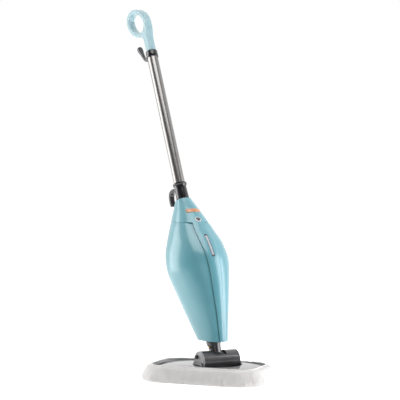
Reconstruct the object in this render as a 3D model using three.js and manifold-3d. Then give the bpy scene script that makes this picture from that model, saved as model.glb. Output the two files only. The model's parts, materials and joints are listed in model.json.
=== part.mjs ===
// Steam mop: swivelling head with a bonnet pad, tilting body with the steam works, tube and loop handle.
// Millimetres, +Z up, the mop's front towards -Y, the origin at the middle of the pad's sole.
import * as THREE from 'three';
import { mergeVertices } from 'three/addons/utils/BufferGeometryUtils.js';
import Module from 'manifold-3d';

const wasm = await Module();
wasm.setup();

// ---- Driving dimensions ----
const GAP = 0.3;
const LEAN = THREE.MathUtils.degToRad(26);
const HEAD_YAW = THREE.MathUtils.degToRad(-49);
const JOINT_OFFSET = 26;
const JOINT_HEIGHT = 53;

const PAD_HALF_LENGTH = 172.5;
const PAD_HALF_WIDTH = 104;
const PAD_CORNER = 72;
const PAD_HEIGHT = 43;
const PAD_SOLE = 8;
const PAD_WALL = 6;
const PAD_LIP = 3;
const PAD_LIP_INSET = 21;
const PLATE_HALF_LENGTH = 157;
const PLATE_HALF_WIDTH = 94;
const PLATE_CORNER = 62;
const PLATE_SHIFT = 6;
const PLATE_TOP = 15;
const WELL_RADIUS = 67;
const DOME_TOP = 43.5;

const BARREL_RADIUS = 28.5;
const BARREL_BORE = 24;
const BARREL_HALF = 57;
const CAP_THICKNESS = 5;
const SPOOL_RADIUS = 23.7;
const SLOT_HALF = 18;
const CHEEK = 4;
const NECK_RADIUS = 17;
const NECK_TOP_RADIUS = 20.5;

const SHELL = 2.6;
const BODY_SHOULDER = 478;
const BODY_BASE = 60;
const PANEL_TOP = 415;
const LEVEL_SLOPE = Math.tan(LEAN);
const TONGUE_BOTTOM = 362;
const TONGUE_ANGLE = 0.326;
const REAR_EXPONENT = 2 / 2.3;
const REAR_HALF_STRIP = 26;

const BUTTON_AT = 393;
const BUTTON_RADIUS = 6.5;
const WINDOW_BOTTOM = 263;
const WINDOW_TOP = 339;
const WINDOW_HALF = 4.6;
const FILLER_AT = 350;
const FILLER_HOLE = 16;

const TUBE_RADIUS = 16;
const TUBE_WALL = 1;
const TUBE_BOTTOM = 446;
const TUBE_TOP = 962;
const HANDLE_BASE = 966.3;
const HANDLE_HALF = 11.5;
const LOOP_CENTRE = new THREE.Vector2(38, 1086);
const LOOP_OUTER = new THREE.Vector2(72, 41);
const LOOP_INNER = new THREE.Vector2(56, 27);
const LOOP_TILT = THREE.MathUtils.degToRad(42);
const HOOK_AT = 957;

// The body's outline: height along the tube axis, half-width, depth in front and depth behind.
const BODY_STATIONS = [
  [20, 32, 44, 30],
  [58, 38, 56, 37],
  [110, 49, 73, 49],
  [160, 60, 88, 58],
  [215, 73, 101, 65],
  [270, 84.5, 104, 71.5],
  [320, 82, 92, 71],
  [365, 68, 73, 64],
  [405, 52, 58, 54],
  [440, 38, 43, 42],
  [462, 29, 31.5, 32],
  [482, 21.5, 22, 22],
];
// Half-width of the front spine along the same axis.
const SPINE_STATIONS = [
  [20, 6.5],
  [60, 7.5],
  [118, 11],
  [173, 15.5],
  [228, 18],
  [283, 21.5],
  [325, 23.8],
  [360, 22.3],
  [390, 19.5],
];

// ---- Colours ----
const AQUA = 0x8fcfdc;
const PALE_AQUA = 0xbfe3ea;
const DARK_GREY = 0x454548;
const BLACK = 0x1b1b1d;
const STEEL = 0xb9b9b8;
const LIGHT_GREY = 0xc9c6c3;
const WHITE = 0xe9e7e4;
const ORANGE = 0xe0853a;
const GREEN = 0x2e6b45;
const BRASS = 0xb08d4a;

function material(color, roughness, metalness = 0) {
  return new THREE.MeshStandardMaterial({ color, roughness, metalness });
}

const model = new THREE.Group();
const head = new THREE.Group();
head.rotation.z = HEAD_YAW;
const joint = new THREE.Group();
joint.position.set(JOINT_OFFSET * Math.cos(HEAD_YAW), JOINT_OFFSET * Math.sin(HEAD_YAW), JOINT_HEIGHT);
const mop = new THREE.Group();
mop.position.copy(joint.position);
mop.rotation.x = -LEAN;
model.add(head, joint, mop);

function place(group, name, geometry, look) {
  const mesh = new THREE.Mesh(geometry, look);
  mesh.name = name;
  group.add(mesh);
}

// ---- Solid tools ----
function bare(geometry) {
  const copy = geometry.clone();
  for (const key of Object.keys(copy.attributes)) {
    if (key !== 'position') {
      copy.deleteAttribute(key);
    }
  }
  return mergeVertices(copy, 1e-4);
}

function solid(geometry) {
  const merged = bare(geometry);
  const vertProperties = Float32Array.from(merged.attributes.position.array);
  const triVerts = [];
  const index = merged.index.array;
  for (let i = 0; i < index.length; i += 3) {
    const [a, b, c] = index.slice(i, i + 3);
    if (a !== b && b !== c && c !== a) {
      triVerts.push(a, b, c);
    }
  }
  return new wasm.Manifold(new wasm.Mesh({ numProp: 3, vertProperties, triVerts: Uint32Array.from(triVerts) }));
}

function surfaceOf(manifold) {
  const mesh = manifold.getMesh();
  const geometry = new THREE.BufferGeometry();
  geometry.setAttribute('position', new THREE.BufferAttribute(Float32Array.from(mesh.vertProperties), 3));
  geometry.setIndex(Array.from(mesh.triVerts));
  return geometry;
}

function joined(first, ...others) {
  return surfaceOf(others.reduce((sum, other) => sum.add(solid(other)), solid(first)));
}

function cut(first, ...others) {
  return surfaceOf(others.reduce((sum, other) => sum.subtract(solid(other)), solid(first)));
}

// A turned piece about Z from (radius, height) points.
function turned(points, segments = 24) {
  const profile = points.map(([radius, height]) => new THREE.Vector2(radius, height));
  const geometry = new THREE.LatheGeometry(profile, segments);
  geometry.rotateX(Math.PI / 2);
  return surfaceOf(solid(geometry));
}

function rod(radius, low, high, segments = 20) {
  return turned([[0, low], [radius, low], [radius, high], [0, high]], segments);
}

function ring(inner, outer, low, high, segments = 28) {
  return turned([[inner, low], [outer, low], [outer, high], [inner, high], [inner, low]], segments);
}

function block(sizeX, sizeY, sizeZ, x, y, z) {
  const geometry = new THREE.BoxGeometry(sizeX, sizeY, sizeZ);
  geometry.translate(x, y, z);
  return geometry;
}

// Lays a piece made about Z along X, or along Y towards the rear.
function alongX(geometry) {
  return geometry.rotateY(Math.PI / 2);
}

function alongY(geometry) {
  return geometry.rotateX(-Math.PI / 2);
}

// An outline drawn in the mop's side plane (rearwards, upwards), given a thickness across the mop.
function sideways(shape, halfWidth, bevel, curveSegments = 24) {
  const geometry = new THREE.ExtrudeGeometry(shape, {
    depth: 2 * (halfWidth - bevel),
    bevelEnabled: bevel > 0,
    bevelThickness: bevel,
    bevelSize: bevel,
    bevelOffset: -bevel,
    bevelSegments: 1,
    curveSegments,
  });
  geometry.translate(0, 0, -(halfWidth - bevel));
  const toSide = new THREE.Matrix4().makeBasis(
    new THREE.Vector3(0, 1, 0), new THREE.Vector3(0, 0, 1), new THREE.Vector3(1, 0, 0));
  return geometry.applyMatrix4(toSide);
}

// A round bar along hand-placed points.
function bar(points, radius, steps, sides = 6) {
  const section = new THREE.Shape().absarc(0, 0, radius, 0, 2 * Math.PI);
  const path = new THREE.CatmullRomCurve3(points.map((p) => new THREE.Vector3(...p)));
  return new THREE.ExtrudeGeometry(section, {
    steps, curveSegments: sides, bevelEnabled: false, extrudePath: path,
  });
}

function roundedRectangle(halfLength, halfWidth, radius) {
  const shape = new THREE.Shape();
  shape.moveTo(halfLength, -(halfWidth - radius));
  shape.absarc(halfLength - radius, halfWidth - radius, radius, 0, Math.PI / 2);
  shape.absarc(-(halfLength - radius), halfWidth - radius, radius, Math.PI / 2, Math.PI);
  shape.absarc(-(halfLength - radius), -(halfWidth - radius), radius, Math.PI, 1.5 * Math.PI);
  shape.absarc(halfLength - radius, -(halfWidth - radius), radius, 1.5 * Math.PI, 2 * Math.PI);
  return shape;
}

function slab(shape, low, high, curveSegments = 7) {
  const geometry = new THREE.ExtrudeGeometry(shape, { depth: high - low, bevelEnabled: false, curveSegments });
  geometry.translate(0, 0, low);
  return geometry;
}

// A closed solid from a grid of points; it closes on itself around u, and around v when ringed.
function gridSolid(point, countU, countV, { wrapU, wrapV }) {
  const positions = [];
  const index = [];
  for (let i = 0; i < countU; i += 1) {
    for (let j = 0; j < countV; j += 1) {
      positions.push(...point(i, j));
    }
  }
  const at = (i, j) => (i % countU) * countV + (j % countV);
  const lastU = wrapU ? countU : countU - 1;
  const lastV = wrapV ? countV : countV - 1;
  for (let i = 0; i < lastU; i += 1) {
    for (let j = 0; j < lastV; j += 1) {
      index.push(at(i, j), at(i + 1, j), at(i + 1, j + 1), at(i, j), at(i + 1, j + 1), at(i, j + 1));
    }
  }
  if (!wrapU) {
    for (let j = 1; j < countV - 1; j += 1) {
      index.push(at(0, 0), at(0, j), at(0, j + 1));
      index.push(at(countU - 1, 0), at(countU - 1, j + 1), at(countU - 1, j));
    }
  }
  if (!wrapV) {
    for (let i = 1; i < countU - 1; i += 1) {
      index.push(at(0, 0), at(i + 1, 0), at(i, 0));
      index.push(at(0, countV - 1), at(i, countV - 1), at(i + 1, countV - 1));
    }
  }
  const geometry = new THREE.BufferGeometry();
  geometry.setAttribute('position', new THREE.Float32BufferAttribute(positions, 3));
  geometry.setIndex(outward(positions, index));
  return geometry;
}

function outward(positions, index) {
  let volume = 0;
  const corner = (k) => new THREE.Vector3().fromArray(positions, 3 * k);
  for (let i = 0; i < index.length; i += 3) {
    volume += corner(index[i]).dot(corner(index[i + 1]).cross(corner(index[i + 2])));
  }
  return volume > 0 ? index : index.slice().reverse();
}

// A plate between two surfaces: outer(i, j) and inner(i, j) over a grid, closed along its edges.
function plate(outer, inner, columns, rows, closedRing = false) {
  const positions = [];
  const index = [];
  for (const face of [outer, inner]) {
    for (let i = 0; i < columns; i += 1) {
      for (let j = 0; j < rows; j += 1) {
        positions.push(...face(i, j));
      }
    }
  }
  const at = (side, i, j) => side * columns * rows + (i % columns) * rows + j;
  const quad = (a, b, c, d) => index.push(a, b, c, a, c, d);
  const lastColumn = closedRing ? columns : columns - 1;
  for (let i = 0; i < lastColumn; i += 1) {
    for (let j = 0; j < rows - 1; j += 1) {
      quad(at(0, i, j), at(0, i + 1, j), at(0, i + 1, j + 1), at(0, i, j + 1));
      quad(at(1, i, j), at(1, i, j + 1), at(1, i + 1, j + 1), at(1, i + 1, j));
    }
    quad(at(0, i + 1, 0), at(0, i, 0), at(1, i, 0), at(1, i + 1, 0));
    quad(at(0, i, rows - 1), at(0, i + 1, rows - 1), at(1, i + 1, rows - 1), at(1, i, rows - 1));
  }
  if (!closedRing) {
    for (let j = 0; j < rows - 1; j += 1) {
      quad(at(0, 0, j), at(0, 0, j + 1), at(1, 0, j + 1), at(1, 0, j));
      quad(at(0, columns - 1, j + 1), at(0, columns - 1, j), at(1, columns - 1, j), at(1, columns - 1, j + 1));
    }
  }
  const geometry = new THREE.BufferGeometry();
  geometry.setAttribute('position', new THREE.Float32BufferAttribute(positions, 3));
  geometry.setIndex(outward(positions, index));
  return geometry;
}

// ---- The body's surface ----
// Smooth interpolation through a list of stations, by the height in each one's first entry.
function along(stations, height) {
  const last = stations.length - 1;
  let k = 0;
  while (k < last - 1 && height > stations[k + 1][0]) {
    k += 1;
  }
  const slope = (i, column) => {
    const before = stations[Math.max(i - 1, 0)];
    const after = stations[Math.min(i + 1, last)];
    return (after[column] - before[column]) / (after[0] - before[0]);
  };
  const [low, high] = [stations[k], stations[k + 1]];
  const span = high[0] - low[0];
  const t = (height - low[0]) / span;
  const [t2, t3] = [t * t, t * t * t];
  return low.slice(1).map((value, i) => (
    (2 * t3 - 3 * t2 + 1) * value + (3 * t2 - 2 * t3) * high[i + 1]
    + (t3 - 2 * t2 + t) * span * slope(k, i + 1) + (t3 - t2) * span * slope(k + 1, i + 1)));
}

// A point on the body: angle 0 at the front, positive towards +X; inset is how far inside the skin it lies.
function bodyPoint(angle, height, inset = 0) {
  const [width, front, rear] = along(BODY_STATIONS, height).map((value) => value - inset);
  if (Math.cos(angle) >= 0) {
    return [width * Math.sin(angle), -front * Math.cos(angle), height];
  }
  const across = Math.sign(Math.sin(angle)) * Math.abs(Math.sin(angle)) ** REAR_EXPONENT;
  return [width * across, rear * Math.abs(Math.cos(angle)) ** REAR_EXPONENT, height];
}

// Height where the skin at this angle meets a plane that is level while the mop leans at rest.
function levelHeight(base, angle) {
  let height = base;
  for (let i = 0; i < 8; i += 1) {
    height = base + LEVEL_SLOPE * bodyPoint(angle, height)[1];
  }
  return height;
}

function spineAngle(height) {
  const [half] = along(SPINE_STATIONS, Math.min(height, 388));
  return Math.asin(half / along(BODY_STATIONS, height)[0]);
}

function rearAngle(height) {
  const half = Math.min(REAR_HALF_STRIP, 0.6 * along(BODY_STATIONS, height)[0]);
  return Math.PI - Math.asin((half / along(BODY_STATIONS, height)[0]) ** (1 / REAR_EXPONENT));
}

// Skin between two angles that vary with height, from the base plane up to topAt(angle).
function skin(angleAt, topAt, columns, rows, thickness = SHELL) {
  const settle = (i, j) => {
    const u = i / (columns - 1);
    const v = j / (rows - 1);
    let height = BODY_BASE + v * (PANEL_TOP - BODY_BASE);
    let angle = angleAt(u, height);
    for (let k = 0; k < 12; k += 1) {
      const low = levelHeight(BODY_BASE, angle);
      height = low + v * (topAt(angle) - GAP / 2 - low);
      angle = angleAt(u, height);
    }
    return [angle, height];
  };
  const cache = new Map();
  const at = (i, j) => {
    const key = i * rows + j;
    if (!cache.has(key)) {
      cache.set(key, settle(i, j));
    }
    return cache.get(key);
  };
  return plate((i, j) => bodyPoint(...at(i, j)), (i, j) => bodyPoint(...at(i, j), thickness), columns, rows);
}

function angleGap(height) {
  return 0.6 * GAP / along(BODY_STATIONS, height)[0];
}

// ---- Head: pad, base plate, cover ----
function microfibrePad() {
  const outer = slab(roundedRectangle(PAD_HALF_LENGTH, PAD_HALF_WIDTH, PAD_CORNER), 0, PAD_HEIGHT);
  const inside = roundedRectangle(
    PAD_HALF_LENGTH - PAD_WALL, PAD_HALF_WIDTH - PAD_WALL, PAD_CORNER - PAD_WALL);
  const mouth = roundedRectangle(
    PAD_HALF_LENGTH - PAD_LIP_INSET, PAD_HALF_WIDTH - PAD_LIP_INSET, PAD_CORNER - PAD_LIP_INSET);
  return cut(outer, slab(inside, PAD_SOLE, PAD_HEIGHT - PAD_LIP), slab(mouth, PAD_HEIGHT - 2 * PAD_LIP, 60));
}

function basePlate() {
  const outline = slab(roundedRectangle(PLATE_HALF_LENGTH, PLATE_HALF_WIDTH, PLATE_CORNER), PAD_SOLE + GAP, PLATE_TOP);
  outline.translate(PLATE_SHIFT, 0, 0);
  const hub = rod(14, 0, 30);
  hub.translate(JOINT_OFFSET, 0, 0);
  return cut(outline, hub);
}

// How far the plate's rounded outline lies from a point inside it, in a direction.
function plateReach(from, away) {
  const core = new THREE.Vector2(PLATE_HALF_LENGTH - 1 - PLATE_CORNER, PLATE_HALF_WIDTH - 1 - PLATE_CORNER);
  const isInside = (reach) => {
    const spot = from.clone().addScaledVector(away, reach);
    const beyond = [Math.max(Math.abs(spot.x) - core.x, 0), Math.max(Math.abs(spot.y) - core.y, 0)];
    return Math.hypot(...beyond) < PLATE_CORNER;
  };
  let [low, high] = [0, 2 * PLATE_HALF_LENGTH];
  while (high - low > 1e-3) {
    const middle = (low + high) / 2;
    [low, high] = isInside(middle) ? [middle, high] : [low, middle];
  }
  return low;
}

// Dome that falls from the turret's well to the plate's edge, with the well's wall turned down.
function headCover() {
  const wall = 3;
  const section = [
    [1, 0, PLATE_TOP + GAP], [1, 0, 27], [0.94, 0, 34], [0.75, 0, 38.2], [0.4, 0, 41.8],
    [0, 0, DOME_TOP], [0, 0, 20], [0, -wall, 20], [0, -wall, DOME_TOP - wall],
    [0.4, 0, 41.8 - wall], [0.75, 0, 38.2 - wall], [1, wall, 27], [1, wall, PLATE_TOP + GAP],
  ];
  const columns = 56;
  const centre = new THREE.Vector2(JOINT_OFFSET - PLATE_SHIFT, 0);
  const point = (i, j) => {
    const [share, inward, height] = section[j];
    const away = new THREE.Vector2(1, 0).rotateAround(new THREE.Vector2(), 2 * Math.PI * (i / columns));
    const reach = plateReach(centre, away);
    const spot = centre.clone().addScaledVector(away, WELL_RADIUS + share * (reach - WELL_RADIUS) - inward);
    return [spot.x + PLATE_SHIFT, spot.y, height];
  };
  return gridSolid(point, columns, section.length, { wrapU: true, wrapV: true });
}

function steamDiffuser() {
  return turned([[5, 8.6], [12.5, 8.6], [12.5, 12], [9, 14.6], [5, 14.6], [5, 8.6]]);
}

function addHead() {
  const plastic = material(LIGHT_GREY, 0.25);
  const onAxis = (geometry) => geometry.translate(JOINT_OFFSET, 0, 0);
  place(head, 'microfibre_pad', microfibrePad(), material(WHITE, 0.95));
  place(head, 'base_plate', basePlate(), material(WHITE, 0.5));
  place(head, 'head_cover', headCover(), plastic);
  place(head, 'steam_diffuser', onAxis(steamDiffuser()), material(DARK_GREY, 0.5));
  place(head, 'glide_ring', onAxis(ring(50, 70, PLATE_TOP + GAP, 15.9)), material(WHITE, 0.4));
  const cornerX = PLATE_HALF_LENGTH - 26;
  const cornerY = PLATE_HALF_WIDTH - 34;
  let number = 0;
  for (const x of [-cornerX, cornerX]) {
    for (const y of [-cornerY, cornerY]) {
      number += 1;
      const screw = turned([[0, 15.4], [3.4, 15.4], [3.4, 17.4], [1.6, 19], [1.6, 27], [0, 27]], 12);
      screw.translate(x + PLATE_SHIFT, y, 0);
      place(head, `cover_screw_${number}`, screw, material(STEEL, 0.4, 1));
    }
  }
}

// ---- Joint: turret with saddle, barrel, end caps, lock button ----
function jointSaddle() {
  const floor = -JOINT_HEIGHT;
  const disc = turned([
    [6, floor + 16.2], [71, floor + 16.2], [71, floor + 19.6], [WELL_RADIUS - 0.6, floor + 19.6],
    [WELL_RADIUS - 0.6, floor + 23.4], [WELL_RADIUS - 3, floor + 24.4], [6, floor + 24.4], [6, floor + 16.2],
  ], 36);
  const cradle = block(2 * BARREL_HALF + 2 * CHEEK, 50, 18, 0, 0, floor + 29);
  const cheekTop = new THREE.Shape();
  cheekTop.moveTo(-25, -34);
  cheekTop.lineTo(25, -34);
  cheekTop.lineTo(25, -7);
  cheekTop.quadraticCurveTo(24, -1, 18, -1);
  cheekTop.lineTo(-18, -1);
  cheekTop.quadraticCurveTo(-24, -1, -25, -7);
  cheekTop.closePath();
  const cheeks = sideways(cheekTop, BARREL_HALF + CHEEK, 0, 6);
  const barrelRoom = alongX(rod(BARREL_RADIUS + GAP, -BARREL_HALF - GAP, BARREL_HALF + GAP, 36));
  const between = block(2 * (BARREL_HALF + GAP), 60, 34, 0, 0, 2);
  const steamWay = rod(6, floor + 10, floor + 40, 16);
  return cut(joined(disc, cradle, cut(cheeks, between)), barrelRoom, steamWay);
}

// Sector of a circle in the side plane; 0 is straight up and positive leans to the rear.
function sector(radius, from, to) {
  const shape = new THREE.Shape();
  shape.moveTo(0, 0);
  const steps = 14;
  for (let i = 0; i <= steps; i += 1) {
    const angle = from + (to - from) * (i / steps);
    shape.lineTo(radius * Math.sin(angle), radius * Math.cos(angle));
  }
  shape.closePath();
  return shape;
}

function barrelHousing() {
  const half = BARREL_HALF - CAP_THICKNESS - GAP;
  const wall = alongX(ring(BARREL_BORE, BARREL_RADIUS, -half, half, 36));
  const front = THREE.MathUtils.degToRad(-48);
  const rear = THREE.MathUtils.degToRad(108);
  return cut(wall, sideways(sector(45, front, rear), SLOT_HALF, 0));
}

function endCap(side) {
  const inner = BARREL_HALF - CAP_THICKNESS;
  const cap = turned([
    [0, inner], [BARREL_RADIUS, inner], [BARREL_RADIUS, BARREL_HALF - 1.2], [BARREL_RADIUS - 1.2, BARREL_HALF],
    [0, BARREL_HALF],
  ], 36);
  return alongX(side > 0 ? cap : cap.rotateX(Math.PI));
}

const LOCK_Y = 9;
const LOCK_Z = 12;
const LOCK_TRAVEL = 1.5;
const SPRING_SEAT = 3.8;

function addJoint() {
  const dark = material(DARK_GREY, 0.25);
  place(joint, 'joint_saddle', jointSaddle(), dark);
  place(joint, 'barrel_housing', barrelHousing(), dark);
  place(joint, 'end_cap_right', endCap(1), dark);
  const socket = alongX(rod(5.6, -BARREL_HALF - 2, -BARREL_HALF + 4, 16)).translate(0, LOCK_Y, LOCK_Z);
  place(joint, 'end_cap_left', cut(endCap(-1), socket), dark);
  const button = alongX(turned([[0, 0], [5, 0], [5, 7.5], [4, 9], [0, 9]], 16).rotateX(Math.PI));
  button.translate(-BARREL_HALF + SPRING_SEAT - 1 - GAP / 2 - LOCK_TRAVEL, LOCK_Y, LOCK_Z);
  place(joint, 'lock_button', button, material(BLACK, 0.35));
  const spring = alongX(rod(3.5, -1, 0, 12)).translate(-BARREL_HALF + SPRING_SEAT, LOCK_Y, LOCK_Z);
  place(joint, 'lock_spring', spring, material(STEEL, 0.4, 1));
}

// ---- Neck and body shells ----
function pivotSpool() {
  const half = BARREL_HALF - CAP_THICKNESS - 2 * GAP;
  return alongX(ring(7, SPOOL_RADIUS, -half, half, 40));
}

function neck() {
  const outside = turned([
    [9, 18], [NECK_RADIUS, 18], [NECK_RADIUS, 35], [18.2, 43], [NECK_TOP_RADIUS, 50], [NECK_TOP_RADIUS, 86],
    [9, 86], [9, 18],
  ], 36);
  return cut(outside, alongX(rod(SPOOL_RADIUS + GAP, -40, 40, 40)));
}

function neckScrew() {
  const screw = alongX(turned([[0, 0], [3.6, 0], [3.6, 1.6], [2.4, 2.4], [0, 2.4]], 14).rotateX(Math.PI));
  return screw.translate(-17.8, -3, 38);
}

function bottomCover() {
  const hole = NECK_TOP_RADIUS + 0.6;
  const columns = 30;
  const point = (i, j) => {
    const angle = 2 * Math.PI * (i / columns);
    const height = levelHeight(BODY_BASE, angle);
    const lift = j < 2 ? 1 : 3.5;
    const spot = bodyPoint(angle, height + lift, SHELL + 1);
    if (j === 0 || j === 3) {
      return spot;
    }
    const size = Math.hypot(spot[0], spot[1]);
    const [x, y] = [hole * spot[0] / size, hole * spot[1] / size];
    return [x, y, BODY_BASE + LEVEL_SLOPE * y + lift];
  };
  return gridSolid(point, columns, 4, { wrapU: true, wrapV: true });
}

function sidePanel(side) {
  const angleAt = (u, height) => {
    const from = spineAngle(height) + angleGap(height);
    const to = rearAngle(height) - angleGap(height);
    return side * (from + (to - from) * u);
  };
  return skin(angleAt, (angle) => levelHeight(PANEL_TOP, angle), 12, 14);
}

function frontSpine() {
  const angleAt = (u, height) => (2 * u - 1) * (spineAngle(height) - angleGap(height));
  const whole = skin(angleAt, () => TONGUE_BOTTOM, 5, 16);
  const window = block(2 * WINDOW_HALF, 60, WINDOW_TOP - WINDOW_BOTTOM, 0, -90, (WINDOW_TOP + WINDOW_BOTTOM) / 2);
  return cut(whole, window);
}

function rearShell() {
  const angleAt = (u, height) => {
    const half = Math.PI - rearAngle(height) - angleGap(height);
    return Math.PI + (2 * u - 1) * half;
  };
  const whole = skin(angleAt, (angle) => levelHeight(PANEL_TOP, angle), 5, 16);
  const filler = onRear(rod(FILLER_HOLE, -12, 12, 24), FILLER_AT);
  const gland = alongY(rod(7.5, 20, 100, 20)).translate(0, 0, 398);
  return cut(whole, filler, gland);
}

function shoulderShell() {
  const tongue = [-1, -0.5, 0, 0.5, 1].map((k) => k * TONGUE_ANGLE);
  const step = TONGUE_ANGLE + 0.009;
  const around = 20;
  const rest = [];
  for (let i = 0; i <= around; i += 1) {
    rest.push(step + (2 * Math.PI - 2 * step) * (i / around));
  }
  const angles = [...tongue, ...rest];
  const rows = 6;
  const at = (i, j) => {
    const angle = angles[i];
    const low = (i < tongue.length ? TONGUE_BOTTOM : levelHeight(PANEL_TOP, angle)) + GAP / 2;
    return [angle, low + (BODY_SHOULDER - low) * (j / (rows - 1))];
  };
  const whole = plate((i, j) => bodyPoint(...at(i, j)), (i, j) => bodyPoint(...at(i, j), SHELL),
    angles.length, rows, true);
  return cut(whole, onFront(rod(BUTTON_RADIUS + 2.4, -12, 12, 24), BUTTON_AT));
}

// Moves a piece made about Z so that its axis stands out of the skin's middle at a height.
function onSkin(geometry, angle, height) {
  const [, y] = bodyPoint(angle, height);
  const rise = Math.abs(bodyPoint(angle, height + 1)[1]) - Math.abs(bodyPoint(angle, height - 1)[1]);
  const normal = new THREE.Vector3(0, Math.sign(y), -rise / 2).normalize();
  const turn = new THREE.Quaternion().setFromUnitVectors(new THREE.Vector3(0, 0, 1), normal);
  geometry.applyQuaternion(turn);
  return geometry.translate(0, y, height);
}

function onFront(geometry, height) {
  return onSkin(geometry, 0, height);
}

function onRear(geometry, height) {
  return onSkin(geometry, Math.PI, height);
}

// A thin patch that lies on or in the front skin, between two insets.
function frontPatch(halfWidth, bottom, top, outerInset, innerInset, columns, rows) {
  const at = (i, j) => {
    const height = bottom + (top - bottom) * (j / (rows - 1));
    const x = halfWidth * (2 * i / (columns - 1) - 1);
    return [Math.asin(x / along(BODY_STATIONS, height)[0]), height];
  };
  return plate((i, j) => bodyPoint(...at(i, j), outerInset), (i, j) => bodyPoint(...at(i, j), innerInset),
    columns, rows);
}

function addShells() {
  const aqua = material(AQUA, 0.16);
  place(mop, 'pivot_spool', pivotSpool(), material(DARK_GREY, 0.4));
  place(mop, 'neck', neck(), material(DARK_GREY, 0.3));
  place(mop, 'neck_screw', neckScrew(), material(BRASS, 0.4, 1));
  place(mop, 'bottom_cover', bottomCover(), aqua);
  place(mop, 'left_panel', sidePanel(-1), aqua);
  place(mop, 'right_panel', sidePanel(1), aqua);
  place(mop, 'front_spine', frontSpine(), aqua);
  place(mop, 'rear_shell', rearShell(), aqua);
  place(mop, 'shoulder_shell', shoulderShell(), aqua);
  const lensHalf = WINDOW_HALF - GAP;
  place(mop, 'water_window', frontPatch(lensHalf, WINDOW_BOTTOM + GAP, WINDOW_TOP - GAP, 0.8, 2.4, 3, 9),
    material(0xb8bcc4, 0.05));
  place(mop, 'front_badge', frontPatch(21, 421, 434, -1.5, -GAP, 9, 3), material(ORANGE, 0.35));
  const bezel = ring(BUTTON_RADIUS + 0.5, BUTTON_RADIUS + 2, -4, 1.6, 24);
  place(mop, 'button_bezel', onFront(bezel, BUTTON_AT), material(WHITE, 0.3));
  const button = turned([[0, -6], [BUTTON_RADIUS, -6], [BUTTON_RADIUS, 1.2], [4.5, 2.2], [0, 2.2]], 20);
  place(mop, 'power_button', onFront(button, BUTTON_AT), material(DARK_GREY, 0.3));
}

// ---- Works inside the body ----
function roundLoft(rings, columns = 16) {
  const point = (i, j) => {
    const [height, half, front, rear] = rings[j];
    const angle = 2 * Math.PI * (i / columns);
    const depth = (front + rear) / 2;
    return [half * Math.sin(angle), (rear - front) / 2 - depth * Math.cos(angle), height];
  };
  return gridSolid(point, columns, rings.length, { wrapU: true, wrapV: false });
}

function waterTank() {
  const outer = roundLoft([[262, 54, 70, 18], [270, 62, 80, 24], [300, 62, 80, 24], [335, 55, 70, 24],
    [372, 40, 48, 22], [378, 34, 40, 17]]);
  const inner = roundLoft([[265, 51, 67, 15], [272, 59, 77, 21], [300, 59, 77, 21], [335, 52, 67, 21],
    [370, 37, 45, 19], [375, 31, 37, 14]]);
  const spout = alongY(rod(17.5, 10, 57, 24)).translate(0, 0, FILLER_AT);
  const bore = alongY(rod(14.5, 0, 90, 24)).translate(0, 0, FILLER_AT);
  return surfaceOf(solid(outer).add(solid(spout)).subtract(solid(inner)).subtract(solid(bore)));
}

function fillerCap() {
  const cap = turned([[0, -8], [12.6, -8], [12.6, 0.6], [21, 0.6], [21, 2.4], [19.5, 3.8], [0, 3.8], [0, -8]], 28);
  const tab = block(12, 5, 3.2, 0, -23, 2.2);
  return onRear(joined(cap, tab), FILLER_AT);
}

function addWorks() {
  const black = material(BLACK, 0.5);
  const metal = material(STEEL, 0.35, 1);
  place(mop, 'chassis_spine', block(24, 5, 240, 0, 35, 207), material(DARK_GREY, 0.6));
  place(mop, 'water_tank', waterTank(), material(WHITE, 0.2));
  place(mop, 'filler_cap', fillerCap(), material(AQUA, 0.3));
  place(mop, 'pump', block(36, 34, 50, 0, -42, 221), black);
  place(mop, 'boiler', turned([[0, 100], [22, 100], [27, 106], [27, 174], [22, 180], [0, 180]])
    .translate(0, -14, 0), metal);
  place(mop, 'thermostat', rod(8, 180.3, 186, 16).translate(-8, -16, 0), black);
  place(mop, 'thermal_fuse', block(6, 16, 5, 12, -2, 183.1), material(WHITE, 0.5));
  place(mop, 'control_board', block(48, 1.6, 62, 0, 26, 222), material(GREEN, 0.6));
  place(mop, 'tank_hose', bar([[0, -42, 247], [0, -42, 250], [2, -42, 254], [0, -42, 258], [0, -42, 261.2]], 4, 5), black);
  place(mop, 'pump_hose', bar([[4, -33, 195.2], [4, -33, 193], [3, -29, 188], [2, -25, 183.4], [2, -25, 180.8]], 3.5, 6), black);
  place(mop, 'steam_hose', bar([[0, -14, 99.2], [0, -14, 97], [0, -10, 93], [0, -6, 89], [0, -6, 86.8]], 4, 5), black);
  place(mop, 'switch_module', block(16, 12, 14, 0, -45, 387), black);
  place(mop, 'button_spring', onFront(rod(4, -10.4, -8.3, 12), BUTTON_AT), metal);
  place(mop, 'cord_gland', alongY(turned([
    [3.6, 44], [9.5, 44], [9.5, 48], [7, 48.6], [7, 53], [6, 66], [3.6, 66], [3.6, 44],
  ], 20)).translate(0, 0, 398), black);
}

// ---- Collar, tube, handle, hooks ----
function lowerHook() {
  const shape = new THREE.Shape();
  shape.moveTo(19.4, 511);
  shape.bezierCurveTo(30, 520, 40, 523, 50, 523);
  shape.bezierCurveTo(60, 523, 61.5, 516, 62, 506);
  shape.lineTo(62, 494);
  shape.quadraticCurveTo(62.5, 489.5, 66.5, 489.5);
  shape.quadraticCurveTo(71, 490, 71, 494);
  shape.bezierCurveTo(72.5, 512, 71, 533, 52, 534);
  shape.bezierCurveTo(38, 534, 28, 531, 19.4, 524);
  shape.closePath();
  return sideways(shape, 7, 1.5, 5);
}

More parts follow.
